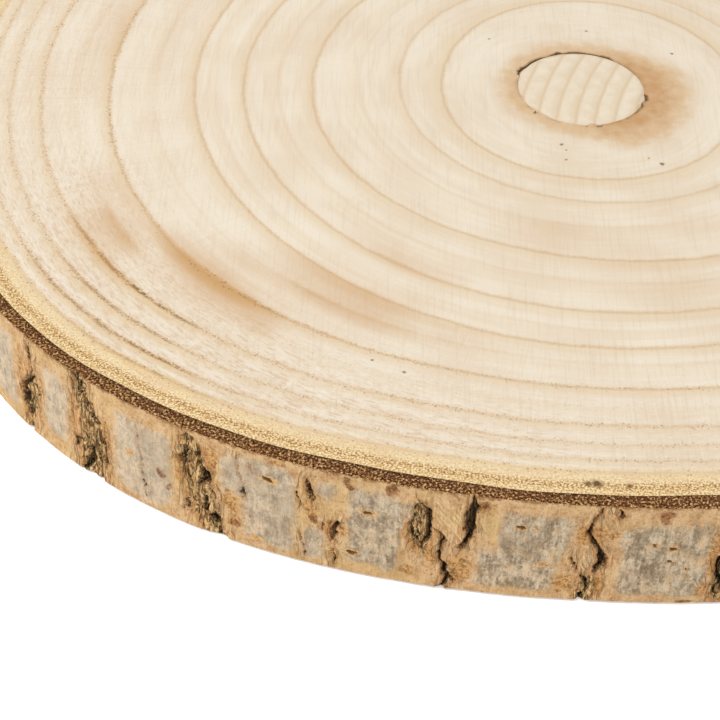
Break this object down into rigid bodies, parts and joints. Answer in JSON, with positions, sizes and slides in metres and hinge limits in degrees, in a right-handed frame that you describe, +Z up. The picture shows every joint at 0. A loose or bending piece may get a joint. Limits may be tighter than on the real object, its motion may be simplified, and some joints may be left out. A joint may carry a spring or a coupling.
{
  "type": "wood slice",
  "caption": "Round slice sawn across a tree trunk, bark left on, with tan growth rings on pale end grain and a round wooden plug filling the bored pith.",
  "frame": {"origin": "middle of the bounding box at the lower sawn face, which lies on Z = 0", "axes": "+Z up along the trunk, square to both sawn faces; +X to the right and +Y away, with the side whose bark is best seen facing -Y"},
  "size_m": [0.293, 0.2842, 0.025],
  "materials": {
    "end_grain": "raw sawn end grain, lightly sanded, unvarnished",
    "bark": "dry rough corky bark, weathered grey on its plates",
    "plug_wood": "raw sawn wood, paler than the slice"
  },
  "bodies": {
    "root": {"wood_slice": "end_grain", "pith_plug": "plug_wood"}
  },
  "joints": []
}
